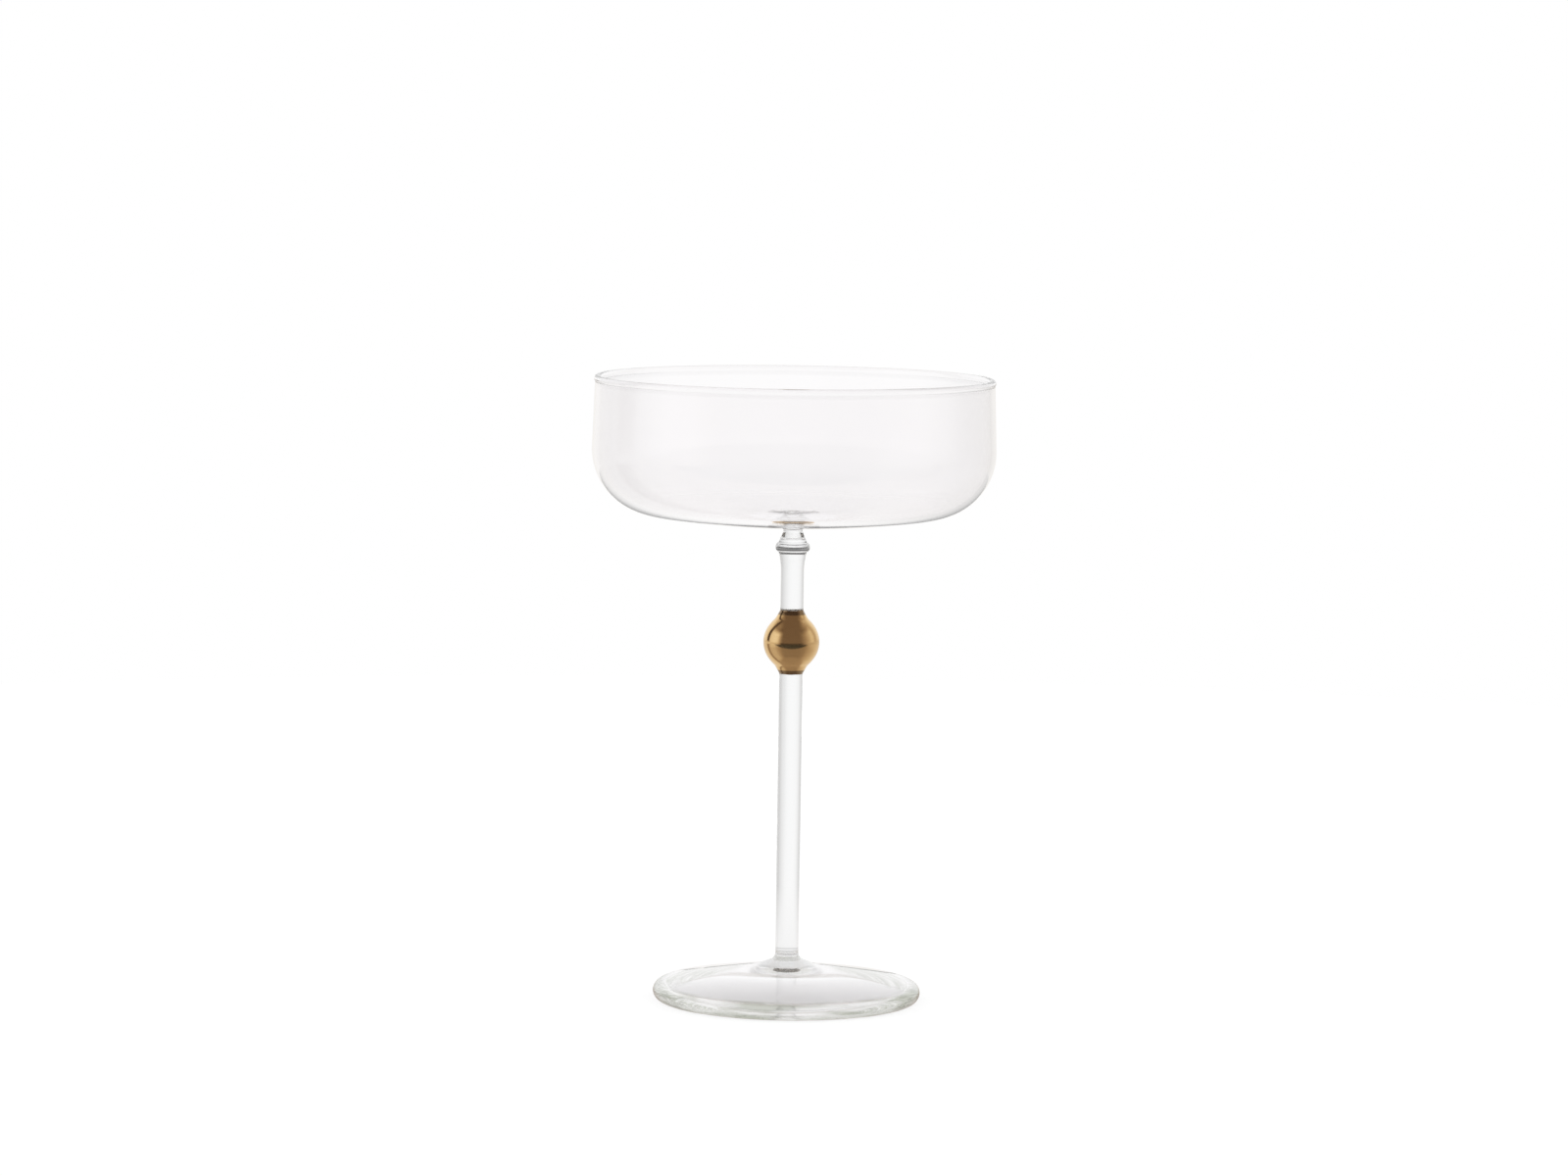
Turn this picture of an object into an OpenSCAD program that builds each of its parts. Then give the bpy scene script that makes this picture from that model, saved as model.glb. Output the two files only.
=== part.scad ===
// Stemmed coupe glass: a blown bowl on a drawn rod stem with a gold bead, welded to a round foot.
// Every piece is turned about the Z axis. The foot stands on Z = 0, and the rim is the highest point.
// The pieces are stacked from the foot up, and each meets the next face to face at its weld.

/* [Bowl] */
// Widest outside diameter of the bowl
bowl_d = 105; // [90:1:125]
// Outside depth of the bowl, from its lowest point to the top of the rim
bowl_h = 38.6; // [32:0.2:60]
// Thickness of the blown wall
bowl_wall = 1.4; // [1:0.1:2.2]
// Radius of the round corner between wall and bottom
bowl_corner_r = 17; // [10:0.5:24]
// Radius of the shallow dome that forms the bottom
bowl_bottom_r = 260; // [160:5:500]
// Inward lean of the wall towards the rim, in degrees
bowl_lean = 2; // [0.5:0.25:5]
// How much thicker the fire-polished rim is than the wall
rim_swell = 0.5; // [0.1:0.05:0.8]
// Diameter of the low lump that the weld raises in the middle of the floor
floor_lump_d = 14; // [8:0.5:24]
// Height of that lump
floor_lump_h = 0.6; // [0.3:0.1:1.5]

/* [Neck and collar] */
// Height of the neck, from the collar to the lowest point of the bowl
neck_h = 4.4; // [4:0.1:8]
// Diameter of the neck at its narrowest
neck_waist_d = 5; // [3.5:0.1:6]
// Diameter of the weld pad under the bowl
neck_pad_d = 11.5; // [9:0.5:16]
// Slope of the pad's underside, in degrees
neck_pad_slope = 10; // [6:1:16]
// Radius of the fillet between the waist and the pad
neck_fillet_r = 1; // [0.6:0.1:1.6]
// Diameter of the collar at its bulging edge
collar_d = 9; // [8:0.1:14]
// Height of the collar
collar_h = 2.6; // [2:0.1:4]
// Diameter of the welds above and below the collar
weld_d = 7.3; // [7:0.1:7.8]

/* [Stem] */
// Diameter of the drawn rod
stem_d = 6; // [5:0.1:6.8]
// Length of the rod above the bead
upper_stem_l = 14.9; // [8:0.1:40]
// Length of the flared top of the upper rod
stem_flare_l = 5; // [2:0.1:7]
// Length of the rod below the bead
lower_stem_l = 73.1; // [30:0.1:120]

/* [Bead] */
// Diameter of the bead over its gold
bead_d = 14.6; // [12:0.1:22]
// Radius of the fillets that run from the bead into the rod
bead_fillet_r = 3.5; // [1:0.1:4]
// Thickness of the fired gold lustre
gold_t = 0.15; // [0.1:0.05:0.4]

/* [Foot] */
// Diameter of the foot
foot_d = 70; // [60:1:90]
// Thickness of the full-round edge of the foot
foot_edge_t = 4.6; // [2.5:0.1:5]
// Slope of the foot's upper face, in degrees
foot_slope = 10; // [6:1:16]
// Thickness of the foot in the middle
foot_wall = 2; // [1.5:0.1:3]
// Width of the flat ring that the foot stands on
rest_ring_w = 1.8; // [1:0.1:4]
// Diameter of the button that welds the rod to the foot
button_d = 16; // [13:0.5:24]
// Slope of the button's skirt, in degrees
button_slope = 23; // [15:1:35]
// Radius of the fillet between the button's skirt and the rod
button_fillet_r = 2; // [1.5:0.1:4]

/* [Hidden] */
$fn = 128;
// Steps of a full circle on the wide, shallow domes
dome_fn = 512;
// Overlap of two curves that run smoothly into each other, so that they cross once and leave no step
blend = 0.002;

clear_glass = [0.90, 0.94, 0.93, 0.45];
foot_glass = [0.84, 0.90, 0.86, 0.55];
gold = [0.78, 0.60, 0.34];

stem_r = stem_d / 2;

// Foot: the round edge, the point where the upper face leaves it, and the hollow underneath
foot_edge_r = foot_edge_t / 2;
foot_edge_x = foot_d / 2 - foot_edge_r;
foot_top_x = foot_edge_x + foot_edge_r * sin(foot_slope);
foot_top_z = foot_edge_r + foot_edge_r * cos(foot_slope);
button_r = button_d / 2;
foot_h = foot_top_z + (foot_top_x - button_r) * tan(foot_slope);
hollow_r = foot_edge_x - rest_ring_w;
hollow_h = foot_h - foot_wall;
hollow_dome_r = (pow(hollow_r, 2) + pow(hollow_h, 2)) / (2 * hollow_h);

// Button: its fillet is tangent to the rod and to the skirt
button_fillet_x = stem_r + button_fillet_r;
button_skirt_x = button_fillet_x - button_fillet_r * sin(button_slope);
button_skirt_h = (button_r - button_skirt_x) * tan(button_slope);
button_h = button_skirt_h + button_fillet_r * cos(button_slope);

// Bead: half its length, from its middle to where its fillets end on the rod
bead_r = bead_d / 2;
bead_fillet_x = stem_r + bead_fillet_r;
bead_half_l = sqrt(pow(bead_r + bead_fillet_r, 2) - pow(bead_fillet_x, 2));

// Collar: its edge bulges in an arc from weld to weld, and the rod flares to the same weld under it
weld_r = weld_d / 2;
collar_bulge = collar_d / 2 - weld_r;
collar_edge_r = (pow(collar_h / 2, 2) + pow(collar_bulge, 2)) / (2 * collar_bulge);
collar_edge_x = collar_d / 2 - collar_edge_r;
flare_r = (pow(weld_r - stem_r, 2) + pow(stem_flare_l, 2)) / (2 * (weld_r - stem_r));

// Neck: a cone up from the collar's weld touches the fillet that runs from the waist up to the pad
waist_r = neck_waist_d / 2;
pad_r = neck_pad_d / 2;
pad_fillet_x = waist_r + neck_fillet_r;
pad_skirt_x = pad_fillet_x - neck_fillet_r * sin(neck_pad_slope);
pad_skirt_h = neck_h - (pad_r - pad_skirt_x) * tan(neck_pad_slope);
waist_h = pad_skirt_h - neck_fillet_r * cos(neck_pad_slope);
weld_to_fillet = norm([pad_fillet_x - weld_r, waist_h]);
cone_lean = atan2(waist_h, pad_fillet_x - weld_r) + asin(neck_fillet_r / weld_to_fillet);
cone_l = sqrt(pow(weld_to_fillet, 2) - pow(neck_fillet_r, 2));
cone_top = [weld_r + cone_l * cos(cone_lean), cone_l * sin(cone_lean)];

// Bowl: the corner is tangent to the domed bottom and to the leaning wall, and the pad's seat is flat
bowl_corner_x = bowl_d / 2 - bowl_corner_r;
bottom_dome_h = sqrt(pow(bowl_bottom_r, 2) - pow(pad_r, 2));
dome_to_corner = bowl_bottom_r - bowl_corner_r;
bowl_corner_h = bottom_dome_h - sqrt(pow(dome_to_corner, 2) - pow(bowl_corner_x, 2));
rim_r = (bowl_wall + rim_swell) / 2;
rim_bead_h = bowl_h - rim_r;
floor_lump_r = (pow(floor_lump_d / 2, 2) + pow(floor_lump_h, 2)) / (2 * floor_lump_h);

// Heights at which the pieces stand on each other
lower_stem_z = foot_h + button_h;
bead_z = lower_stem_z + lower_stem_l + bead_half_l;
upper_stem_z = bead_z + bead_half_l;
collar_z = upper_stem_z + upper_stem_l;
neck_z = collar_z + collar_h;
bowl_z = neck_z + neck_h;

// Solid turned from a half section, standing at a height
module turned(z) {
    translate([0, 0, z]) rotate_extrude() children();
}

// Radius of the bowl's wall at a height in the bowl, at a depth measured square to its outside face
function wall_x(h, depth) =
    bowl_corner_x + (bowl_corner_r - depth) / cos(bowl_lean) - (h - bowl_corner_h) * tan(bowl_lean);

// Half section of all that lies deeper than depth inside the bowl's outside face, up to top_h
module bowl_section(depth, top_h) {
    corner_r = bowl_corner_r - depth;
    // the line from the dome's middle through the corner's middle, where it reaches the seat
    seat_x = bowl_corner_x * bottom_dome_h / (bottom_dome_h - bowl_corner_h);
    wall_low = [bowl_corner_x + corner_r * cos(bowl_lean), bowl_corner_h + corner_r * sin(bowl_lean)];
    intersection() {
        union() {
            polygon([[0, 0], [seat_x, 0], [bowl_corner_x, bowl_corner_h], wall_low,
                [wall_x(top_h, depth), top_h], [0, top_h]]);
            // the round corner, which ends at the top and at the axis
            intersection() {
                translate([bowl_corner_x, bowl_corner_h]) circle(corner_r + blend);
                square([bowl_d, top_h]);
            }
        }
        translate([0, bottom_dome_h]) circle(bowl_bottom_r - depth, $fn = dome_fn);
    }
}

// Blown bowl with a fire-polished rim and a low lump of glass over the neck
module bowl() {
    color(clear_glass) turned(bowl_z) {
        difference() {
            bowl_section(0, rim_bead_h);
            difference() {
                bowl_section(bowl_wall, bowl_h);
                translate([0, bowl_wall + floor_lump_h - floor_lump_r]) circle(floor_lump_r, $fn = dome_fn);
            }
        }
        translate([wall_x(rim_bead_h, bowl_wall / 2), rim_bead_h]) circle(rim_r);
    }
}

// Tapered neck, spread over a fillet into a thin pad under the bowl
module neck() {
    color(clear_glass) turned(neck_z) difference() {
        polygon([[0, 0], [weld_r, 0], cone_top, [pad_fillet_x, waist_h], [pad_skirt_x, pad_skirt_h],
            [pad_r, neck_h], [0, neck_h]]);
        translate([pad_fillet_x, waist_h]) circle(neck_fillet_r + blend);
    }
}

// Collar: a disc of glass with a bulging edge, between the neck and the rod
module collar() {
    color(clear_glass) turned(collar_z) {
        square([collar_edge_x, collar_h]);
        intersection() {
            translate([collar_edge_x, collar_h / 2]) circle(collar_edge_r);
            square([collar_d, collar_h]);
        }
    }
}

// Upper rod, flared where it is welded to the collar
module upper_stem() {
    color(clear_glass) turned(upper_stem_z) {
        square([stem_r, upper_stem_l]);
        difference() {
            translate([0, upper_stem_l - stem_flare_l]) square([weld_r, stem_flare_l]);
            translate([stem_r + flare_r, upper_stem_l - stem_flare_l]) circle(flare_r + blend);
        }
    }
}

// Half section of the bead: depth is 0 over the gold, and gold_t at the glass
module bead_section(depth) {
    // the fillet meets the ball on the line between their middles
    meet_x = bead_fillet_x * (bead_r - depth) / (bead_r + bead_fillet_r);
    difference() {
        union() {
            intersection() {
                circle(bead_r - depth);
                translate([0, -bead_half_l]) square([bead_r, 2 * bead_half_l]);
            }
            translate([0, -bead_half_l]) square([meet_x, 2 * bead_half_l]);
        }
        for (h = [-bead_half_l, bead_half_l])
            translate([bead_fillet_x, h]) circle(bead_fillet_r + depth + blend);
    }
}

// Solid glass bead with a fillet at each end
module bead() {
    color(clear_glass) turned(bead_z) bead_section(gold_t);
}

// Gold lustre fired on the bead, from weld to weld
module gold_lustre() {
    color(gold) turned(bead_z) difference() {
        bead_section(0);
        bead_section(gold_t);
    }
}

// Plain rod between the bead and the foot
module lower_stem() {
    color(clear_glass) turned(lower_stem_z) square([stem_r, lower_stem_l]);
}

// Button of glass that spreads the rod's end over the foot
module foot_button() {
    color(clear_glass) turned(foot_h) difference() {
        polygon([[0, 0], [button_r, 0], [button_skirt_x, button_skirt_h],
            [button_fillet_x, button_h], [0, button_h]]);
        translate([button_fillet_x, button_h]) circle(button_fillet_r + blend);
    }
}

// Round foot with a full-round edge, a sloping upper face and a domed hollow underneath
module foot() {
    color(foot_glass) turned(0) difference() {
        union() {
            polygon([[0, 0], [foot_edge_x, 0], [foot_edge_x, foot_edge_r], [foot_top_x, foot_top_z],
                [button_r, foot_h], [0, foot_h]]);
            translate([foot_edge_x, foot_edge_r]) circle(foot_edge_r);
        }
        translate([0, hollow_h - hollow_dome_r]) circle(hollow_dome_r, $fn = dome_fn);
    }
}

foot();
foot_button();
lower_stem();
bead();
gold_lustre();
upper_stem();
collar();
neck();
bowl();
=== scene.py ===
"""Looks of a stemmed coupe glass: clear blown and drawn glass with a gold bead on its stem.

Each piece is a closed mesh turned about the Z axis, and stands for one CAD node.
Lengths are in metres, in the frame of the CAD part.
"""
from math import asin, atan2, cos, exp, pi, radians, sin, sqrt, tan

import bpy
from mathutils import Matrix, Vector, noise


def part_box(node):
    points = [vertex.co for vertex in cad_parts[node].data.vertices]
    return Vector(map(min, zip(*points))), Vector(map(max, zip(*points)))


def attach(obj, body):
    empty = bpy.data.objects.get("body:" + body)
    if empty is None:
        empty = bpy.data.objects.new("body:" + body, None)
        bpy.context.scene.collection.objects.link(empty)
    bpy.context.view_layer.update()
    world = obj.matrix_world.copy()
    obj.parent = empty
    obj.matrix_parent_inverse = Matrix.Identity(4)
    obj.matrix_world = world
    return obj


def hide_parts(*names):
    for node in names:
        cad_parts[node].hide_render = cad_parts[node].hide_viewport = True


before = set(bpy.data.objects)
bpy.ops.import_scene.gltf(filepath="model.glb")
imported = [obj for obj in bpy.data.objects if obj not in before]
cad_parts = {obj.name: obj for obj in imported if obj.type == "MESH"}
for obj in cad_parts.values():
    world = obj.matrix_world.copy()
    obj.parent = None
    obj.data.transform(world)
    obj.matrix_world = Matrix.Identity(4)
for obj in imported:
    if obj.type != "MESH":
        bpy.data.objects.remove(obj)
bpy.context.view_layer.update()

MM = 0.001

# Bowl: wall, rim and the lump that the weld raises in its floor
BOWL_WALL = 1.4 * MM
BOWL_CORNER_R = 17 * MM
BOWL_BOTTOM_R = 260 * MM
BOWL_LEAN = radians(2)
BOWL_WAVE = 0.05 * MM
RIM_R = 0.95 * MM
RIM_STEPS_L = 2 * MM
RIM_BLEND = 12
LUMP_R = 6.6 * MM
LUMP_H = 0.5 * MM
LUMP_SHOULDER = 0.9 * MM
LUMP_WAVE = 0.8 * MM

# Neck
NECK_WAIST_R = 2.5 * MM
NECK_FILLET_R = 1 * MM
NECK_PAD_SLOPE = radians(10)

# Rod
STEM_FLARE_L = 5 * MM
STEM_WAVE = 0.03 * MM
STEM_EVEN_L = 4 * MM
STEM_ROOT_L = 3 * MM

# Bead: its shoulders are fuller than plain fillets, and its ends are bare where the gold stops
BEAD_FILLET_R = 3.5 * MM
SHOULDER_SWELL = 0.33 * MM
SHOULDER_AT = 6.9 * MM
SHOULDER_W = 1.3 * MM
SHOULDER_END_L = 1 * MM
BARE_L = 0.3 * MM
GOLD_T = 0.15 * MM
GOLD_PROUD = 0.01 * MM
GOLD_TOP_END = 0.2 * MM
GOLD_LOW_END = 0.35 * MM
GOLD_WAVE = 0.12 * MM

# Foot and the button that joins it to the rod
FOOT_EDGE_R = 2.3 * MM
FOOT_SLOPE = radians(10)
FOOT_WALL = 2 * MM
FOOT_FACE_WAVE = 0.02 * MM
FOOT_EDGE_WAVE = 0.1 * MM
REST_RING_W = 1.8 * MM
HOLLOW_EDGE_L = 0.5 * MM
HOLLOW_WAVE = 0.12 * MM
BUTTON_SLOPE = radians(23)
BUTTON_FILLET_R = 2 * MM
SEAT_LIFT = 0.18 * MM
SEAT_BLEND_W = 3 * MM
WELD_RING_Z = 12.2 * MM
WELD_RING_H = 0.05 * MM
WELD_RING_W = 0.45 * MM

# Camera, fitted to the outlines of the rim and the foot
IMAGE_W = 1600
FOCAL_PX = 5926.4
SENSOR_W = 36
CAMERA_AT = Vector((0, -1.504, 0.2546))
CAMERA_PITCH = radians(-5.559)
CAMERA_YAW = radians(-0.081)
CAMERA_ROLL = radians(0.842)

# Material slots of a piece of glass: its own surface, and the welds where two pieces are one
GLASS = 0
WELD = 1

# Material slots of the gold: its outside, and the side against the glass
OUTSIDE = 0
BACK = 1

SHARP_ANGLE = radians(35)
FINE = 256
ROUND = 128
TINY = 1e-9


def radius(node):
    """Outside radius of a CAD node."""
    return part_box(node)[1].x


def bottom(node):
    """Height at which a CAD node starts."""
    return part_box(node)[0].z


def top(node):
    """Height at which a CAD node ends."""
    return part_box(node)[1].z


def ease(value, start, end):
    """Smooth step from 0 at start to 1 at end."""
    t = min(1, max(0, (value - start) / (end - start)))
    return t * t * (3 - 2 * t)


def ripple(angle, scale, level):
    """Smooth noise round the axis: a larger scale has more waves, and each level has its own."""
    return noise.noise(Vector((scale * cos(angle), scale * sin(angle), level)))


def arc(center, size, start, end, steps):
    """Points (radius, height) on an arc. Angles are counter-clockwise from straight out."""
    turns = [start + (end - start) * i / steps for i in range(steps + 1)]
    return [(center[0] + size * cos(a), center[1] + size * sin(a)) for a in turns]


def line(start, end, steps=1):
    """Points (radius, height) on a straight line."""
    shares = [i / steps for i in range(steps + 1)]
    return [(start[0] + (end[0] - start[0]) * t, start[1] + (end[1] - start[1]) * t)
            for t in shares]


def bend(start, corner, end, steps):
    """Points (radius, height) on a curve that rounds off a corner."""
    shares = [i / steps for i in range(steps + 1)]
    return [tuple((1 - t) ** 2 * a + 2 * t * (1 - t) * b + t * t * c
                  for a, b, c in zip(start, corner, end))
            for t in shares]


def turned(name, stretches, around, wobble=None):
    """Mesh turned about Z from stretches of (points, material slot) that run on into each other."""
    points = [stretches[0][0][0]]
    skins = []
    for stretch, skin in stretches:
        points += stretch[1:]
        skins += [skin] * (len(stretch) - 1)
    if (Vector(points[0]) - Vector(points[-1])).length < TINY:
        points.pop()
    corners = []
    rings = []
    for r, z in points:
        count = around if r > TINY else 1
        rings.append([len(corners) + j % count for j in range(around)])
        for j in range(count):
            angle = 2 * pi * j / around
            out, up = wobble(r, z, angle) if wobble else (0, 0)
            corners.append(((r + out) * cos(angle), (r + out) * sin(angle), z + up))
    faces = []
    for i in range(len(skins)):
        low = rings[i]
        high = rings[(i + 1) % len(rings)]
        for j in range(around):
            k = (j + 1) % around
            faces.append(list(dict.fromkeys((low[j], low[k], high[k], high[j]))))
    mesh = bpy.data.meshes.new(name)
    mesh.from_pydata(corners, [], faces)
    mesh.polygons.foreach_set("material_index", [skin for skin in skins for _ in range(around)])
    mesh.polygons.foreach_set("use_smooth", [True] * len(faces))
    mesh.set_sharp_from_angle(angle=SHARP_ANGLE)
    piece = bpy.data.objects.new(name, mesh)
    bpy.context.collection.objects.link(piece)
    return piece


def dress(piece, node, slot, *materials):
    """Gives a piece its materials and its place in the frame."""
    for material in materials:
        piece.data.materials.append(material)
    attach(piece, "root")
    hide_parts(node)


# Shapes of the pieces, from the foot up

def make_foot():
    """Round foot with a domed hollow underneath, uneven towards its edge as hand-worked glass."""
    seat = top("foot")
    foot_r = radius("foot")
    edge = (foot_r - FOOT_EDGE_R, FOOT_EDGE_R)
    hollow_r = edge[0] - REST_RING_W
    hollow_h = seat - FOOT_WALL
    dome_r = (hollow_r ** 2 + hollow_h ** 2) / (2 * hollow_h)
    dome = (0, hollow_h - dome_r)
    dome_end = atan2(-dome[1], hollow_r) + HOLLOW_EDGE_L / dome_r
    under = arc(dome, dome_r, pi / 2, dome_end, 60)
    hollow_edge = bend(under[-1], (hollow_r, 0), (hollow_r + HOLLOW_EDGE_L, 0), 6)
    rest = line(hollow_edge[-1], (edge[0], 0), 4)
    rim = arc(edge, FOOT_EDGE_R, -pi / 2, pi / 2 - FOOT_SLOPE, 36)
    slope = line(rim[-1], (radius("foot_button"), seat), 80)
    upper = [(r, z + seat_rise(r)) for r, z in slope]
    weld = line(upper[-1], (0, seat))

    def wobble(r, z, angle):
        """Wavy edge of the hollow, slow waves on the upper face, and a rim not quite round."""
        hollow = ease(r, 0.7 * hollow_r, hollow_r) * ease(-r, -edge[0], -hollow_r)
        hollow *= ease(-z, -2 * MM, -1 * MM)
        inward = HOLLOW_WAVE * ripple(angle, 2.5, 9) * hollow
        rim_share = ease(r, edge[0], foot_r) * ease(z, 0, 1 * MM)
        outward = FOOT_EDGE_WAVE * (ripple(angle, 1.7, 3 + 150 * z) - 0.5) * rim_share
        face = ease(r, 0.4 * foot_r, 0.8 * foot_r) * ease(z, FOOT_EDGE_R, 2 * FOOT_EDGE_R)
        up = FOOT_FACE_WAVE * ripple(angle, 2, 7 + 40 * r) * face
        return inward + outward, up

    return turned("foot_disc", [(under, GLASS), (hollow_edge, GLASS), (rest, GLASS), (rim, GLASS),
                                (upper, GLASS), (weld, WELD)], FINE, wobble)


def seat_rise(r):
    """Height by which the foot's upper face curves up towards the button."""
    button_r = radius("foot_button")
    return SEAT_LIFT * max(0, (button_r + SEAT_BLEND_W - r) / SEAT_BLEND_W) ** 2


def make_foot_button():
    """Button of glass between the rod and the foot, with a fillet up to the rod."""
    seat = bottom("foot_button")
    high = top("foot_button")
    stem_r = radius("lower_stem")
    button_r = radius("foot_button")
    fillet = (stem_r + BUTTON_FILLET_R, high)
    weld_low = line((0, seat), (button_r, seat + SEAT_LIFT))
    curve = arc(fillet, BUTTON_FILLET_R, -pi / 2 - BUTTON_SLOPE, -pi, 24)
    low_slope = tan(FOOT_SLOPE) + 2 * SEAT_LIFT / SEAT_BLEND_W
    high_slope = tan(BUTTON_SLOPE)
    climb = curve[0][1] - weld_low[-1][1]
    run = button_r - curve[0][0]
    corner_run = (high_slope * run - climb) / (high_slope - low_slope)
    corner = (button_r - corner_run, weld_low[-1][1] + low_slope * corner_run)
    skirt = bend(weld_low[-1], corner, curve[0], 20)
    curve[-1] = (stem_r, high)
    weld_high = line((stem_r, high), (0, high))
    return turned("button", [(weld_low, WELD), (skirt, GLASS), (curve, GLASS), (weld_high, WELD)],
                  ROUND, weld_ring)


def weld_ring(r, z, angle):
    """Slight swelling where the rod was melted onto the button."""
    inside = min(1, r / radius("lower_stem"))
    return inside * WELD_RING_H * exp(-((z - WELD_RING_Z) / WELD_RING_W) ** 2), 0


def make_lower_stem():
    """Drawn rod under the bead, with the slight unevenness that drawing leaves."""
    low = bottom("lower_stem")
    high = top("lower_stem")
    stem_r = radius("lower_stem")

    def wobble(r, z, angle):
        """Long waves between round ends, and the weld's swelling at the root."""
        share = ease(z, low, low + STEM_EVEN_L) * ease(high - z, 0, STEM_EVEN_L) * r / stem_r
        return STEM_WAVE * ripple(angle, 0.4, 60 * z) * share + weld_ring(r, z, angle)[0], 0

    root = (stem_r, low + STEM_ROOT_L)
    return turned("stem_below_bead", [(line((0, low), (stem_r, low)), WELD),
                                      (line((stem_r, low), root, 30), GLASS),
                                      (line(root, (stem_r, high), 90), GLASS),
                                      (line((stem_r, high), (0, high)), WELD)], ROUND, wobble)


def bead_curve(depth, low_trim, top_trim):
    """Half section of the bead at a depth under its outside, upwards, with its ends trimmed."""
    low = bottom("gold_lustre")
    high = top("gold_lustre")
    middle = (low + high) / 2
    fillet_x = radius("lower_stem") + BEAD_FILLET_R
    meet = atan2((high - low) / 2, fillet_x)
    fillet_r = BEAD_FILLET_R + depth
    lower = arc((fillet_x, low), fillet_r, pi - asin(low_trim / fillet_r), pi - meet, 30)
    ball = arc((0, middle), radius("gold_lustre") - depth, -meet, meet, 64)
    upper = arc((fillet_x, high), fillet_r, pi + meet, pi + asin(top_trim / fillet_r), 30)

    def swell(z):
        """Fuller shoulders, flush with the rod at the ends."""
        reach = abs(z - middle)
        rounded = exp(-((reach - SHOULDER_AT) / SHOULDER_W) ** 2)
        return SHOULDER_SWELL * rounded * ease(high - middle - reach, 0, SHOULDER_END_L)

    return [(r + swell(z), z) for r, z in lower + ball[1:-1] + upper]


def make_bead():
    """Solid glass bead, flush with the rod at its ends and in the middle of the gold under it."""
    low = bottom("gold_lustre")
    high = top("gold_lustre")
    curve = []
    for flush, covered in zip(bead_curve(0, 0, 0), bead_curve(GOLD_T / 2, 0, 0)):
        share = ease(min(flush[1] - low, high - flush[1]), BARE_L, 2 * BARE_L)
        curve.append(tuple(Vector(flush).lerp(Vector(covered), share)))
    curve[0] = (radius("lower_stem"), low)
    curve[-1] = (radius("lower_stem"), high)
    weld_low = line((0, low), curve[0])
    weld_high = line(curve[-1], (0, high))
    return turned("bead_core", [(weld_low, WELD), (curve, GLASS), (weld_high, WELD)], ROUND)


def make_gold():
    """Gold on the bead, with brushed-on edges just short of the rod."""
    low = bottom("gold_lustre")
    high = top("gold_lustre")
    outside = bead_curve(-GOLD_PROUD, GOLD_LOW_END, GOLD_TOP_END)
    inside = bead_curve(GOLD_T, GOLD_LOW_END, GOLD_TOP_END)[::-1]
    back = outside[-1:] + inside + outside[:1]

    def wobble(r, z, angle):
        """Wavy ends."""
        end = 1 - ease(min(z - low, high - z), BARE_L, 3 * BARE_L)
        return 0, GOLD_WAVE * ripple(angle, 1.5, 40 * z) * end

    return turned("bead_gold", [(outside, OUTSIDE), (back, BACK)], ROUND, wobble)


def make_upper_stem():
    """Rod above the bead, flared where it is welded to the collar."""
    low = bottom("upper_stem")
    high = top("upper_stem")
    stem_r = radius("lower_stem")
    weld_r = radius("upper_stem")
    flare_w = weld_r - stem_r
    flare_r = (flare_w ** 2 + STEM_FLARE_L ** 2) / (2 * flare_w)
    flare_turn = asin(STEM_FLARE_L / flare_r)
    flare = arc((stem_r + flare_r, high - STEM_FLARE_L), flare_r, pi, pi - flare_turn, 16)
    return turned("stem_above_bead", [(line((0, low), (stem_r, low)), WELD),
                                      (line((stem_r, low), flare[0], 24), GLASS),
                                      (flare, GLASS),
                                      (line(flare[-1], (0, high)), WELD)], ROUND)


def make_collar():
    """Disc of glass whose edge bulges from one weld to the other."""
    low = bottom("collar")
    high = top("collar")
    weld_r = radius("upper_stem")
    half = (high - low) / 2
    bulge = radius("collar") - weld_r
    edge_r = (half ** 2 + bulge ** 2) / (2 * bulge)
    edge_turn = asin(half / edge_r)
    edge = arc((radius("collar") - edge_r, low + half), edge_r, -edge_turn, edge_turn, 40)
    return turned("collar_disc", [(line((0, low), edge[0]), WELD), (edge, GLASS),
                                  (line(edge[-1], (0, high)), WELD)], ROUND)


def make_neck():
    """Cone up to a waist, then a fillet into a thin pad under the bowl."""
    low = bottom("neck")
    high = top("neck")
    pad_r = radius("neck")
    weld_r = radius("upper_stem")
    fillet_x = NECK_WAIST_R + NECK_FILLET_R
    skirt_x = fillet_x - NECK_FILLET_R * sin(NECK_PAD_SLOPE)
    skirt_z = high - (pad_r - skirt_x) * tan(NECK_PAD_SLOPE)
    fillet = (fillet_x, skirt_z - NECK_FILLET_R * cos(NECK_PAD_SLOPE))
    reach = Vector(fillet) - Vector((weld_r, low))
    lean = atan2(reach.y, reach.x) + asin(NECK_FILLET_R / reach.length)
    curve = arc(fillet, NECK_FILLET_R, lean + pi / 2, pi / 2 + NECK_PAD_SLOPE, 24)
    cone = line((weld_r, low), curve[0], 12)
    pad = line(curve[-1], (pad_r, high), 8)
    return turned("neck_waist", [(line((0, low), cone[0]), WELD), (cone, GLASS), (curve, GLASS),
                                 (pad, GLASS), (line((pad_r, high), (0, high)), WELD)], ROUND)


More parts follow.
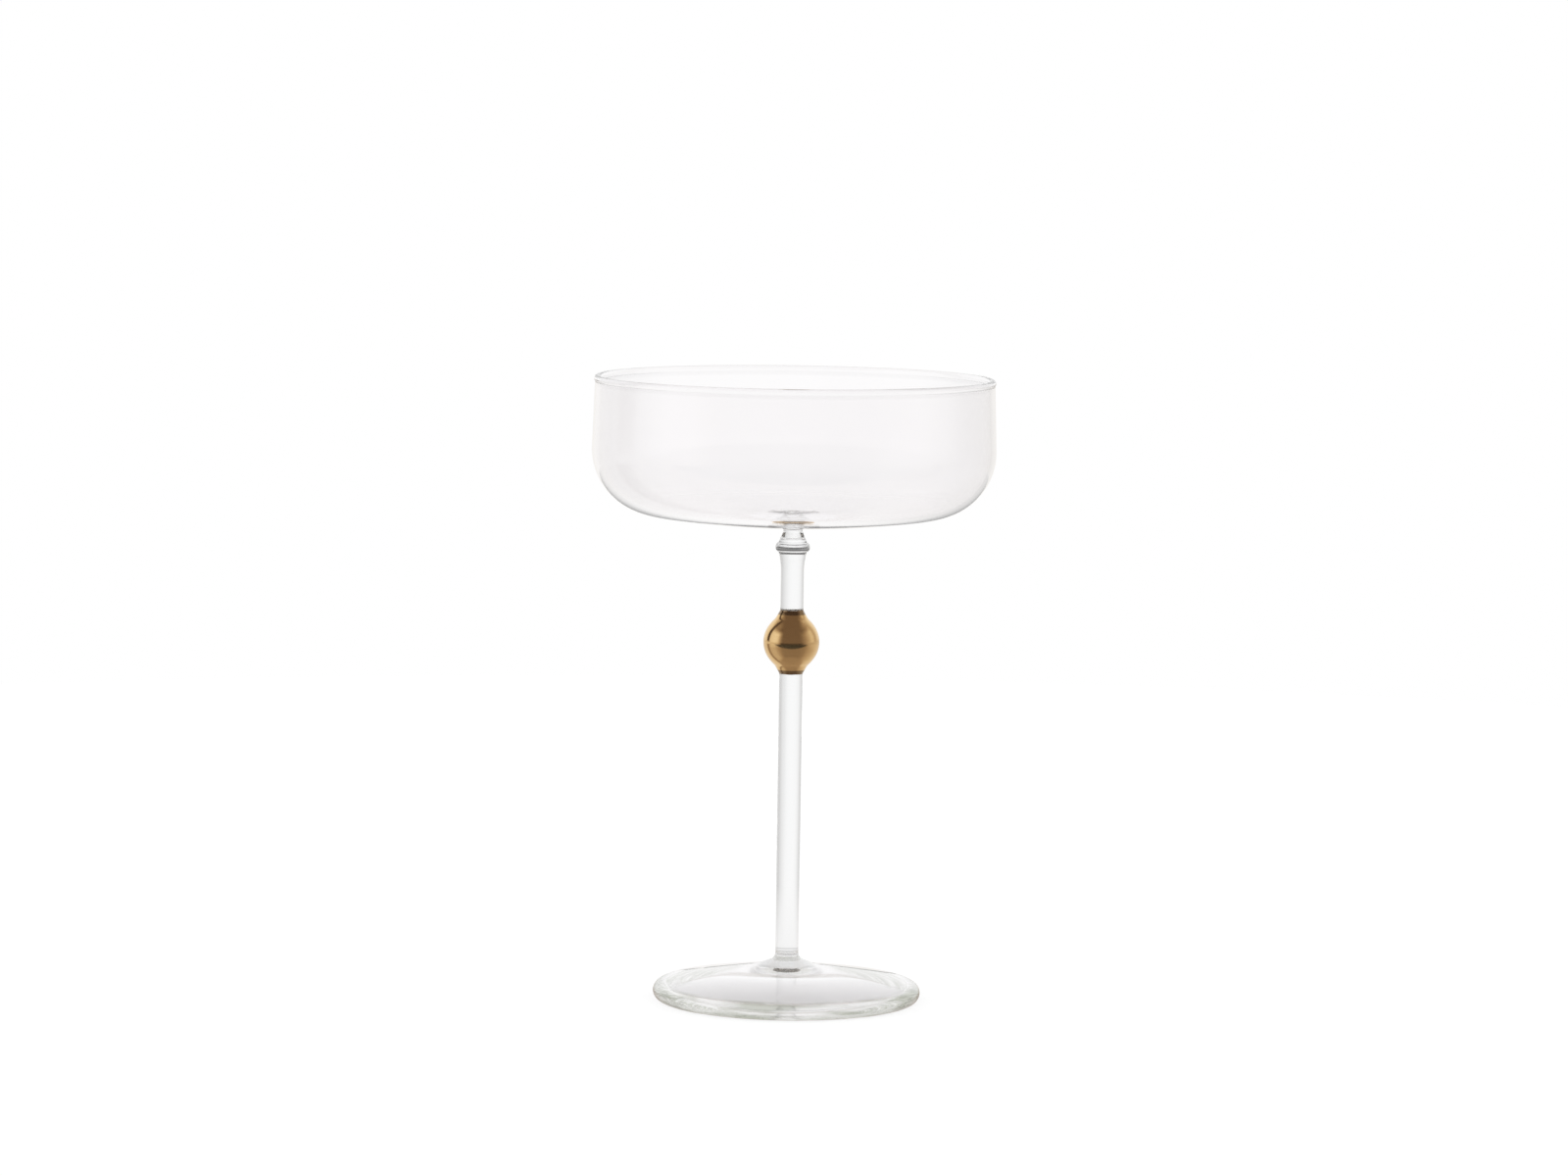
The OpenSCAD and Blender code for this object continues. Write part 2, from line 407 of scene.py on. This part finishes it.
def make_bowl():
    """Blown bowl: domed bottom, round corner, leaning wall, polished rim and a lump in its floor."""
    seat = bottom("bowl")
    rim_top = top("bowl")
    pad_r = radius("neck")
    corner_x = radius("bowl") - BOWL_CORNER_R
    dome = (0, seat + sqrt(BOWL_BOTTOM_R ** 2 - pad_r ** 2))
    corner = (corner_x, dome[1] - sqrt((BOWL_BOTTOM_R - BOWL_CORNER_R) ** 2 - corner_x ** 2))
    join = atan2(corner[1] - dome[1], corner[0] - dome[0])
    across = Vector((cos(BOWL_LEAN), sin(BOWL_LEAN)))
    along = Vector((-sin(BOWL_LEAN), cos(BOWL_LEAN)))
    mid_r = BOWL_CORNER_R - BOWL_WALL / 2
    mid_start = Vector(corner) + across * mid_r
    wall_l = (rim_top - RIM_R - corner[1] - mid_r * sin(BOWL_LEAN)) / cos(BOWL_LEAN)

    def base(depth, start):
        """Points of the bottom and the corner at a depth in the wall, from a start off the axis."""
        floor = arc(dome, BOWL_BOTTOM_R - depth, start - pi / 2, join, 60)
        bow = arc(corner, BOWL_CORNER_R - depth, join, BOWL_LEAN, 40)
        return floor + bow[1:]

    def side(sign):
        """Points of the straight wall's outside (1) or inside (-1), swelling towards the rim."""
        plain_l = wall_l - RIM_STEPS_L
        runs = [plain_l * i / 24 for i in range(1, 25)]
        runs += [plain_l + RIM_STEPS_L * i / 40 for i in range(1, 41)]
        found = []
        for run in runs:
            bead = sqrt(max(0, RIM_R ** 2 - (wall_l - run) ** 2))
            half = ((BOWL_WALL / 2) ** RIM_BLEND + bead ** RIM_BLEND) ** (1 / RIM_BLEND)
            found.append(tuple(mid_start + along * run + across * (sign * half)))
        return found

    outside = base(0, asin(pad_r / BOWL_BOTTOM_R)) + side(1)
    lip = arc(mid_start + along * wall_l, RIM_R, BOWL_LEAN, BOWL_LEAN + pi, 24)
    inside = (base(BOWL_WALL, TINY) + side(-1))[::-1]
    inside[-1] = (0, inside[-1][1])
    inside_heights = {z for _, z in inside}

    def wobble(r, z, angle):
        """Waves on the inside, and the lump in the floor with its uneven shoulder."""
        if z not in inside_heights:
            return 0, 0
        out = BOWL_WAVE * ripple(angle, 1.5, 40 * z) * ease(r, pad_r, 4 * pad_r)
        if z >= corner[1]:
            return out, 0
        shoulder = LUMP_R + LUMP_WAVE * ripple(angle, 1.3, 5)
        return out, LUMP_H * (1 - ease(r, shoulder - LUMP_SHOULDER, shoulder))

    weld = line((0, seat), (pad_r, seat))
    return turned("bowl_shell", [(weld, WELD), (weld[-1:] + outside[1:], GLASS),
                                 (outside[-1:] + lip[1:], GLASS),
                                 (lip[-1:] + inside[1:], GLASS)], FINE, wobble)


# Nodes of the materials

def add(tree, kind, inputs=None, **settings):
    """Adds a node with settings, and with inputs that are plain values or other nodes' outputs."""
    node = tree.nodes.new(kind)
    for key, value in settings.items():
        setattr(node, key, value)
    for key, value in (inputs or {}).items():
        if isinstance(value, bpy.types.NodeSocket):
            tree.links.new(value, node.inputs[key])
        else:
            node.inputs[key].default_value = value
    return node


def calc(tree, operation, *values, clamp=False):
    """Result of a calculation with numbers."""
    return add(tree, "ShaderNodeMath", dict(enumerate(values)), operation=operation,
               use_clamp=clamp).outputs["Value"]


def fade(tree, value, start, end, low=0, high=1, kind="LINEAR"):
    """Number that goes from low to high while a value goes from start to end."""
    return add(tree, "ShaderNodeMapRange", {"Value": value, "From Min": start, "From Max": end,
                                            "To Min": low, "To Max": high},
               interpolation_type=kind).outputs["Result"]


def cloud(tree, place, scale, detail):
    """Smooth noise, at a scale per metre."""
    return add(tree, "ShaderNodeTexNoise", {"Vector": place, "Scale": scale,
                                            "Detail": detail}).outputs["Fac"]


def scaled(tree, place, scale):
    """Place with its axes scaled."""
    return add(tree, "ShaderNodeMapping", {"Vector": place, "Scale": scale}).outputs["Vector"]


def axes(tree, place):
    """X, Y and Z of a place or direction."""
    return add(tree, "ShaderNodeSeparateXYZ", {"Vector": place}).outputs


def length(tree, place):
    """Distance of a place from the origin."""
    return add(tree, "ShaderNodeVectorMath", {0: place}, operation="LENGTH").outputs["Value"]


def ramp(tree, factor, stops):
    """Colour ramp through stops of (place, colour or grey level)."""
    node = add(tree, "ShaderNodeValToRGB", {"Fac": factor})
    elements = node.color_ramp.elements
    while len(elements) < len(stops):
        elements.new(1)
    for element, (place, shade) in zip(elements, stops):
        element.position = place
        element.color = (*shade, 1) if isinstance(shade, tuple) else (shade, shade, shade, 1)
    return node.outputs["Color"]


def pick(tree, factor, plain, special):
    """Mix of two colours."""
    return add(tree, "ShaderNodeMix", {"Factor": factor, "A": plain, "B": special},
               data_type="RGBA").outputs["Result"]


def pick_value(tree, factor, plain, special):
    """Mix of two numbers."""
    return add(tree, "ShaderNodeMix", {"Factor": factor, "A": plain,
                                       "B": special}).outputs["Result"]


def multiplied(tree, tint, shade):
    """Product of two colours."""
    return add(tree, "ShaderNodeMix", {"Factor": 1.0, "A": tint, "B": shade}, data_type="RGBA",
               blend_type="MULTIPLY").outputs["Result"]


def painted_shade_along(tree, tint, measure, painted_shades):
    """Tint multiplied by painted shade given at places along a measure in metres."""
    low = painted_shades[0][0]
    span = painted_shades[-1][0] - low
    share = fade(tree, measure, low, low + span)
    return multiplied(tree, tint, ramp(tree, share, [((at - low) / span, shade)
                                                     for at, shade in painted_shades]))


def new_material(name):
    """Empty node material and its output node."""
    material = bpy.data.materials.new(name)
    material.use_nodes = True
    material.node_tree.nodes.clear()
    return material, material.node_tree, add(material.node_tree, "ShaderNodeOutputMaterial")


# Materials

WHITE = (1, 1, 1, 1)

GLASS_IOR = 1.47
STREAK_SCALE = 40
STREAK_SPREAD = (0.35, 0.65)
SMEAR_SCALE = 120
SMEAR_SPREAD = (0.55, 0.8)
WAVE_SCALE = 90
WAVE_STRENGTH = 0.02
WAVE_H = 0.5 * MM
RIM_SCALE = 70
RIM_FLATNESS = (1, 1, 9)
RIM_SPREAD = (0.4, 0.6)

# Tint where it is pale and where it is deep, stretch of its streaks, and roughness of its smears
BLOWN = ((0.99, 0.982, 0.986), (0.98, 0.971, 0.976), (1, 1, 0.4), 0.003)
DRAWN = ((0.985, 0.985, 0.985), (0.97, 0.975, 0.975), (1, 1, 0.1), 0.02)
THICK = ((0.97, 0.96, 0.97), (0.955, 0.945, 0.955), (1, 1, 1), 0.03)

# Painted shade in the foot's edge, broken into streaks: where it starts and is full, and its dark
# and light shades
FOOT_EDGE_PAINTED_SHADE = (32 * MM, 34 * MM, (0.45, 0.48, 0.40), (0.96, 0.97, 0.945))

# Painted shade, as grey levels at millimetres up from the weld or the rim's top: dark lines at the
# welds, bands on the button, the rod and the collar, and lines along the rim
GREY = 0.025
# Painted shade lines along the rim's bead, a soft one low on it and a darker one at its top
RIM_PAINTED_SHADE = [(-3, 1.0), (-2.8, 1.0), (-2.2, 0.96), (-1.6, 0.96), (-1.2, 1.0), (-0.25, 1.0),
              (-0.1, 0.85), (0, 0.85)]
# Painted shade: a dark line at the top of the rod's flare, just under the collar's weld
FLARE_PAINTED_SHADE = [(-1, 1.0), (-0.3, 1.0), (-0.2, GREY), (0, GREY)]
# Painted shade: a dark line at the collar's lower weld, and a dark band low on its edge
COLLAR_PAINTED_SHADE = [(0, GREY), (0.03, GREY), (0.12, 1.0), (0.45, 1.0), (0.55, GREY),
                 (0.95, 2 * GREY), (1.25, 1.0), (2.6, 1.0)]
# Painted shade on the button: darker up its skirt and fillet, lighter near the top, and a dark line
# just under the rod
SEAT_PAINTED_SHADE = [(0, 1.0), (0.6, 0.85), (1.6, 0.72)]
SKIRT_PAINTED_SHADE = [(-0.9, 0.72), (-0.55, 0.95), (-0.3, 0.9), (-0.2, 0.5), (-0.05, 0.5), (0, 1.0)]
# Painted shade: a dark line round the rod just above its root
ROOT_PAINTED_SHADE = [(0, 1.0), (0.55, 1.0), (0.7, 0.6), (0.9, 0.6), (1.1, 1.0), (2, 1.0)]

# Gold: its colours, its brush marks, and how far from the bead's ends it turns dark brown
GOLD_DEEP = (0.78, 0.545, 0.265)
GOLD_PALE = (0.81, 0.575, 0.29)
GOLD_END_BROWN = (0.27, 0.19, 0.11, 1)
GOLD_BROWN_FROM = 1.6 * MM
GOLD_BROWN_AT = 1.2 * MM
GOLD_GLOSS = (0.10, 0.17)
STROKE_STRETCH = (60, 60, 700)
STROKE_SCALE = 3
GRAIN_SCALE = 900
GRAIN_STRENGTH = 0.015
GRAIN_H = 0.1 * MM
GOLD_SPREAD = (0.3, 0.7)
BACK_DEEP = (0.95, 0.93, 0.90)
BACK_PALE = (0.98, 0.965, 0.945)
BACK_SCALE = 300
BACK_ROUGHNESS = 0.6


def spread(tree, factor, places, first, last):
    """Ramp between two colours."""
    return ramp(tree, factor, [(places[0], first), (places[1], last)])


def glass(name, pale, deep, streak, smear, rim=None, upward=None):
    """Clear glass with faint streaks of tint, a trace of smears and the soft waves of hot work.

    A rim gets painted shade in streaks between two shades, from a start out to an end, and painted
    shade can be given upward. Blurred mirror images, which only the gold has, leave the glass out.
    """
    material, tree, output = new_material(name)
    place = add(tree, "ShaderNodeTexCoord").outputs["Object"]
    stretched = scaled(tree, place, streak)
    tint = spread(tree, cloud(tree, stretched, STREAK_SCALE, 3), STREAK_SPREAD, pale, deep)
    # Painted shade in streaks, from a start out to an end
    if rim:
        start, end, dark, light = rim
        flat = add(tree, "ShaderNodeVectorMath", {0: place, 1: (1, 1, 0)}, operation="MULTIPLY")
        share = fade(tree, length(tree, flat.outputs["Vector"]), start, end)
        painted_shade_streaks = cloud(tree, scaled(tree, place, RIM_FLATNESS), RIM_SCALE, 2)
        shade = spread(tree, painted_shade_streaks, RIM_SPREAD, dark, light)
        tint = multiplied(tree, tint, pick(tree, share, WHITE, shade))
    # Painted shade given at heights
    if upward:
        tint = painted_shade_along(tree, tint, axes(tree, place)["Z"], upward)
    gloss = fade(tree, cloud(tree, place, SMEAR_SCALE, 4), *SMEAR_SPREAD, 0, smear)
    bump = add(tree, "ShaderNodeBump", {"Height": cloud(tree, stretched, WAVE_SCALE, 1),
                                        "Strength": WAVE_STRENGTH, "Distance": WAVE_H})
    shader = add(tree, "ShaderNodeBsdfPrincipled", {"Base Color": tint, "Roughness": gloss,
                                                    "IOR": GLASS_IOR, "Transmission Weight": 1,
                                                    "Normal": bump.outputs["Normal"]})
    rays = add(tree, "ShaderNodeLightPath").outputs
    blurred = calc(tree, "SUBTRACT", rays["Is Glossy Ray"], rays["Is Singular Ray"])
    mirrored = calc(tree, "SUBTRACT", blurred, rays["Transmission Depth"], clamp=True)
    unseen = add(tree, "ShaderNodeBsdfTransparent")
    both = add(tree, "ShaderNodeMixShader", {"Fac": mirrored, 1: shader.outputs["BSDF"],
                                             2: unseen.outputs["BSDF"]})
    tree.links.new(both.outputs["Shader"], output.inputs["Surface"])
    return material


def weld():
    """Fused joint inside the glass, which nothing shows."""
    material, tree, output = new_material("weld")
    shader = add(tree, "ShaderNodeBsdfTransparent", {"Color": WHITE})
    tree.links.new(shader.outputs["BSDF"], output.inputs["Surface"])
    return material


def gold():
    """Bright fired gold: faint brush marks round the bead, and dark brown towards its ends."""
    material, tree, output = new_material("gold")
    place = add(tree, "ShaderNodeTexCoord").outputs["Object"]
    strokes = cloud(tree, scaled(tree, place, STROKE_STRETCH), STROKE_SCALE, 4)
    bright = spread(tree, strokes, GOLD_SPREAD, GOLD_DEEP, GOLD_PALE)
    middle = (bottom("gold_lustre") + top("gold_lustre")) / 2
    half = top("gold_lustre") - middle
    level = calc(tree, "SUBTRACT", axes(tree, place)["Z"], middle)
    end_brown = fade(tree, calc(tree, "ABSOLUTE", level), half - GOLD_BROWN_FROM, half - GOLD_BROWN_AT,
                kind="SMOOTHSTEP")
    gloss = fade(tree, strokes, 0, 1, *GOLD_GLOSS)
    bump = add(tree, "ShaderNodeBump", {"Height": cloud(tree, place, GRAIN_SCALE, 2),
                                        "Strength": GRAIN_STRENGTH, "Distance": GRAIN_H})
    colour = pick(tree, end_brown, bright, GOLD_END_BROWN)
    shader = add(tree, "ShaderNodeBsdfPrincipled", {"Base Color": colour, "Metallic": 1,
                                                    "Roughness": gloss,
                                                    "Normal": bump.outputs["Normal"]})
    tree.links.new(shader.outputs["BSDF"], output.inputs["Surface"])
    return material


def gold_back():
    """Side of the fired gold that is against the glass: paler and without shine."""
    material, tree, output = new_material("gold_back")
    place = add(tree, "ShaderNodeTexCoord").outputs["Object"]
    patches = cloud(tree, place, BACK_SCALE, 3)
    colour = spread(tree, patches, GOLD_SPREAD, BACK_DEEP, BACK_PALE)
    shader = add(tree, "ShaderNodeBsdfPrincipled", {"Base Color": colour, "Metallic": 1,
                                                    "Roughness": BACK_ROUGHNESS})
    tree.links.new(shader.outputs["BSDF"], output.inputs["Surface"])
    return material


# Studio: a white table in front of a white backdrop, a softbox on the left, a window on the right,
# and a dim room behind the camera. Levels of grey go round from the camera's side, at degrees with
# left negative. Heights of the room are sines of the angle above the horizon.

LOW_ROOM = [(-180, 1.0), (-140, 1.0), (-123, 0.9), (-117, 0.06), (-106, 0.06), (-101, 0.9),
            (-75, 1.0), (-61, 0.95), (-47, 0.41), (-38, 0.2), (38, 0.2), (52, 0.3), (66, 0.44),
            (80, 0.61), (97, 0.84), (108, 0.75), (118, 0.54), (128, 0.75), (140, 0.95),
            (155, 1.0), (180, 1.0)]
HIGH_ROOM = [(-180, 0.6), (-124, 0.6), (-118, 0.1), (-106, 0.1), (-100, 0.35), (-75, 0.3),
             (-60, 0.2), (60, 0.2), (80, 0.3), (110, 0.5), (130, 0.7), (180, 0.6)]
UNDER_ROOM = [(-180, 0.9), (-100, 0.8), (-60, 0.7), (-42, 0.06), (42, 0.06), (70, 0.5),
              (180, 0.9)]
HORIZON = (-0.06, 0.01)
HIGH_AT = (0.48, 0.68)
ZENITH_AT = (0.8, 0.92)
ZENITH = (0.2, 0.2, 0.2, 1)

# What is seen through the glass, and the room that gold under glass mirrors
THROUGH = [(-180, 1.0), (-170, 1.0), (-162, 0.99), (-153, 0.95), (-140, 0.82), (-127, 0.65),
           (-110, 0.6), (-95, 0.78), (-80, 1.0), (80, 1.0), (95, 0.8), (110, 0.6), (127, 0.59),
           (140, 0.69), (153, 0.8), (162, 0.89), (170, 0.97), (180, 1.0)]
ROOF_AT = (0.6, 0.78)
ROOF = (0.80, 0.78, 0.77, 1)
OVERHEAD_AT = (0.88, 0.96)
OVERHEAD = (0.28, 0.27, 0.26, 1)
DEEP_ROOM = (0.30, 0.32, 0.36, 1)
DEEP_SHARE = 0.7

# Table: its place, how much of it glows, and its colours
FLOOR_R = 0.75
FLOOR_DROP = 0.05 * MM
FLOOR_GLOW = 0.8
TABLE = (1.05, 1.05, 1.05, 1)
TABLE_MATT = (0.97, 0.97, 0.97, 1)

# Table in mirrors, by its distance from the glass, up to its front edge
CLOSE_TABLE = [(-180, 0.44), (-100, 0.42), (-60, 0.38), (60, 0.38), (100, 0.42), (180, 0.44)]
MIDDLE_TABLE = [(-180, 0.97), (-122, 0.85), (-116, 0.35), (-106, 0.35), (-100, 0.65), (-75, 0.65),
                (-45, 0.35), (-35, 0.3), (38, 0.3), (60, 0.35), (80, 0.5), (100, 0.6), (130, 0.8),
                (180, 0.97)]
FAR_TABLE = [(-180, 0.85), (-122, 0.85), (-116, 0.35), (-106, 0.35), (-100, 0.75), (-75, 0.8),
             (-45, 0.35), (-35, 0.26), (38, 0.26), (60, 0.34), (80, 0.55), (100, 0.7), (130, 0.8),
             (150, 0.85), (180, 0.85)]
MIDDLE_AT = (45 * MM, 65 * MM)
FAR_AT = (270 * MM, 400 * MM)
TABLE_FRONT_AT = (-240 * MM, -200 * MM)
TABLE_FRONT = (0.05, 0.05, 0.05, 1)

# Dusk on the table behind, which only sharp mirrors show
DUSK_SHARE = [(-180, 1.0), (-165, 0.95), (-145, 0.0), (145, 0.0), (165, 0.95), (180, 1.0)]
DUSK_AT = (150 * MM, 300 * MM)
DUSK = (0.13, 0.13, 0.13, 1)

# Table through the glass: beside the foot it is dim in front, and under the foot it is shaded
FRONT_TABLE = [(-180, 1.0), (-100, 1.0), (-65, 0.3), (65, 0.3), (100, 1.0), (180, 1.0)]
BESIDE_AT = (31 * MM, 35 * MM)
THROUGH_AT = (30 * MM, 200 * MM)
UNDER_AT = (-20 * MM, 20 * MM)
UNDER_GLOW = 0.35
ROUND_AT = (40 * MM, 200 * MM)
ROUND_GLOW = 0.4
SHADE_R = 38 * MM


def bearing(tree, direction):
    """Share of a full turn at which a direction points, 0.5 towards the camera's side."""
    ahead = axes(tree, direction)
    turn = calc(tree, "ARCTAN2", ahead["X"], calc(tree, "MULTIPLY", ahead["Y"], -1.0))
    return calc(tree, "MULTIPLY_ADD", turn, 1 / (2 * pi), 0.5), ahead["Y"], ahead["Z"]


def all_round(tree, share, levels):
    """Grey levels round the room, given at angles in degrees."""
    return ramp(tree, share, [(0.5 + angle / 360, level) for angle, level in levels])


def warm(tree, level):
    """Colour of the studio's light at a level: the dimmer, the warmer."""
    return ramp(tree, level, [(0, 0.0), (0.2, (0.195, 0.146, 0.123)), (0.45, (0.45, 0.37, 0.31)),
                              (0.8, (0.8, 0.75, 0.69)), (1, 1.0)])


def make_floor():
    """White table top that keeps the glass's shadow, and that mirrors and glass see shaded."""
    material, tree, output = new_material("table")
    rays = add(tree, "ShaderNodeLightPath").outputs
    spot = add(tree, "ShaderNodeNewGeometry").outputs["Position"]
    share, forward, _ = bearing(tree, spot)
    away = length(tree, spot)

    near = pick(tree, fade(tree, away, *MIDDLE_AT), all_round(tree, share, CLOSE_TABLE),
                all_round(tree, share, MIDDLE_TABLE))
    lit = warm(tree, pick(tree, fade(tree, away, *FAR_AT), near, all_round(tree, share, FAR_TABLE)))
    sharp = fade(tree, away, *DUSK_AT, 0, rays["Is Singular Ray"])
    dusk = multiplied(tree, all_round(tree, share, DUSK_SHARE), sharp)
    shown = pick(tree, fade(tree, forward, *TABLE_FRONT_AT), TABLE_FRONT,
                 pick(tree, dusk, lit, DUSK))

    front = all_round(tree, share, FRONT_TABLE)
    refracted = pick(tree, fade(tree, away, *THROUGH_AT),
                     pick(tree, fade(tree, away, *BESIDE_AT), WHITE, front),
                     all_round(tree, share, THROUGH))
    seen_through = rays["Is Transmission Ray"]
    mirrored = calc(tree, "SUBTRACT", rays["Is Glossy Ray"], seen_through, clamp=True)
    colour = pick(tree, seen_through, TABLE, refracted)
    glow = add(tree, "ShaderNodeEmission", {"Color": pick(tree, mirrored, colour, shown),
                                            "Strength": 1.0})

    shaded = pick_value(tree, calc(tree, "GREATER_THAN", away, SHADE_R),
                        fade(tree, forward, *UNDER_AT, UNDER_GLOW, 1),
                        fade(tree, away, *ROUND_AT, ROUND_GLOW, 1))
    part = pick_value(tree, seen_through, FLOOR_GLOW, shaded)
    part = pick_value(tree, mirrored, part, 1.0)
    matt = add(tree, "ShaderNodeBsdfDiffuse", {"Color": TABLE_MATT})
    both = add(tree, "ShaderNodeMixShader", {"Fac": part, 1: matt.outputs["BSDF"],
                                             2: glow.outputs["Emission"]})
    tree.links.new(both.outputs["Shader"], output.inputs["Surface"])
    floor = turned("floor", [(line((FLOOR_R, -FLOOR_DROP), (0, -FLOOR_DROP), 12), 0)], 96)
    floor.data.materials.append(material)


def make_world():
    """White for the camera. Mirrors and glass see a studio that is fixed in space."""
    world = bpy.data.worlds.new("studio")
    bpy.context.scene.world = world
    world.use_nodes = True
    tree = world.node_tree
    tree.nodes.clear()
    rays = add(tree, "ShaderNodeLightPath").outputs
    share, _, rise = bearing(tree, add(tree, "ShaderNodeTexCoord").outputs["Generated"])

    room = pick(tree, fade(tree, rise, *HIGH_AT), all_round(tree, share, LOW_ROOM),
                all_round(tree, share, HIGH_ROOM))
    room = pick(tree, fade(tree, rise, *ZENITH_AT), room, ZENITH)
    room = pick(tree, fade(tree, rise, *HORIZON), all_round(tree, share, UNDER_ROOM), room)
    deep = calc(tree, "MINIMUM", rays["Transmission Depth"], DEEP_SHARE)
    room = pick(tree, deep, warm(tree, room), DEEP_ROOM)

    through = pick(tree, fade(tree, rise, *ROOF_AT), all_round(tree, share, THROUGH), ROOF)
    through = pick(tree, fade(tree, rise, *OVERHEAD_AT), through, OVERHEAD)

    seen = pick(tree, rays["Is Glossy Ray"], WHITE, room)
    seen = pick(tree, rays["Is Transmission Ray"], seen, through)
    seen = pick(tree, rays["Is Camera Ray"], seen, WHITE)
    sky = add(tree, "ShaderNodeBackground", {"Color": seen, "Strength": 1.0})
    output = add(tree, "ShaderNodeOutputWorld")
    tree.links.new(sky.outputs["Background"], output.inputs["Surface"])


def make_camera():
    """Camera at the photograph's viewing angle."""
    ahead = Vector((sin(CAMERA_YAW) * cos(CAMERA_PITCH), cos(CAMERA_YAW) * cos(CAMERA_PITCH),
                    sin(CAMERA_PITCH)))
    level = Vector((cos(CAMERA_YAW), -sin(CAMERA_YAW), 0))
    upright = level.cross(ahead)
    right = cos(CAMERA_ROLL) * level + sin(CAMERA_ROLL) * upright
    up = cos(CAMERA_ROLL) * upright - sin(CAMERA_ROLL) * level
    data = bpy.data.cameras.new("camera")
    data.sensor_width = SENSOR_W
    data.lens = SENSOR_W * FOCAL_PX / IMAGE_W
    camera = bpy.data.objects.new("camera", data)
    turn = Matrix((right, up, -ahead)).transposed().to_4x4()
    camera.matrix_world = Matrix.Translation(CAMERA_AT) @ turn
    bpy.context.collection.objects.link(camera)
    bpy.context.scene.camera = camera


def lines_at(height, shades):
    """Shades at millimetres from a height, as shades at heights in metres."""
    return [(height + step * MM, shade) for step, shade in shades]


make_camera()
make_floor()
make_world()

# Light goes to and fro in thick glass many times
scene = bpy.context.scene
scene.view_settings.view_transform = "Standard"
scene.cycles.max_bounces = 128
scene.cycles.transmission_bounces = 128
scene.cycles.glossy_bounces = 128
scene.cycles.transparent_max_bounces = 64

collar_z = bottom("collar")
rod_z = bottom("lower_stem")
# Painted shade on the button's skirt, and a dark line just under the rod
skirt = lines_at(bottom("foot_button"), SEAT_PAINTED_SHADE) + lines_at(rod_z, SKIRT_PAINTED_SHADE)

joint = weld()
# Bowl glass with painted shade lines along its rim
blown = glass("blown_glass", *BLOWN, upward=lines_at(top("bowl"), RIM_PAINTED_SHADE))
drawn = glass("drawn_glass", *DRAWN)
# Rod and collar glass with the painted shade lines and band at the collar
flared = glass("flared_glass", *DRAWN, upward=lines_at(collar_z, FLARE_PAINTED_SHADE))
collar_shaded = glass("collar_painted_shade_glass", *DRAWN, upward=lines_at(collar_z, COLLAR_PAINTED_SHADE))
# Button glass with painted shade up its skirt
skirted = glass("skirted_glass", *DRAWN, upward=skirt)
# Rod glass with a painted shade line near its root
rooted = glass("rooted_glass", *DRAWN, upward=lines_at(rod_z, ROOT_PAINTED_SHADE))
# Foot glass with painted shade in streaks round its edge
thick = glass("thick_glass", *THICK, rim=FOOT_EDGE_PAINTED_SHADE)

dress(make_foot(), "foot", "foot_glass", thick, joint)
dress(make_foot_button(), "foot_button", "stem_glass", skirted, joint)
dress(make_lower_stem(), "lower_stem", "stem_glass", rooted, joint)
dress(make_bead(), "bead", "stem_glass", drawn, joint)
dress(make_gold(), "gold_lustre", "gold_lustre", gold(), gold_back())
dress(make_upper_stem(), "upper_stem", "stem_glass", flared, joint)
dress(make_collar(), "collar", "stem_glass", collar_shaded, joint)
dress(make_neck(), "neck", "stem_glass", drawn, joint)
dress(make_bowl(), "bowl", "bowl_glass", blown, joint)
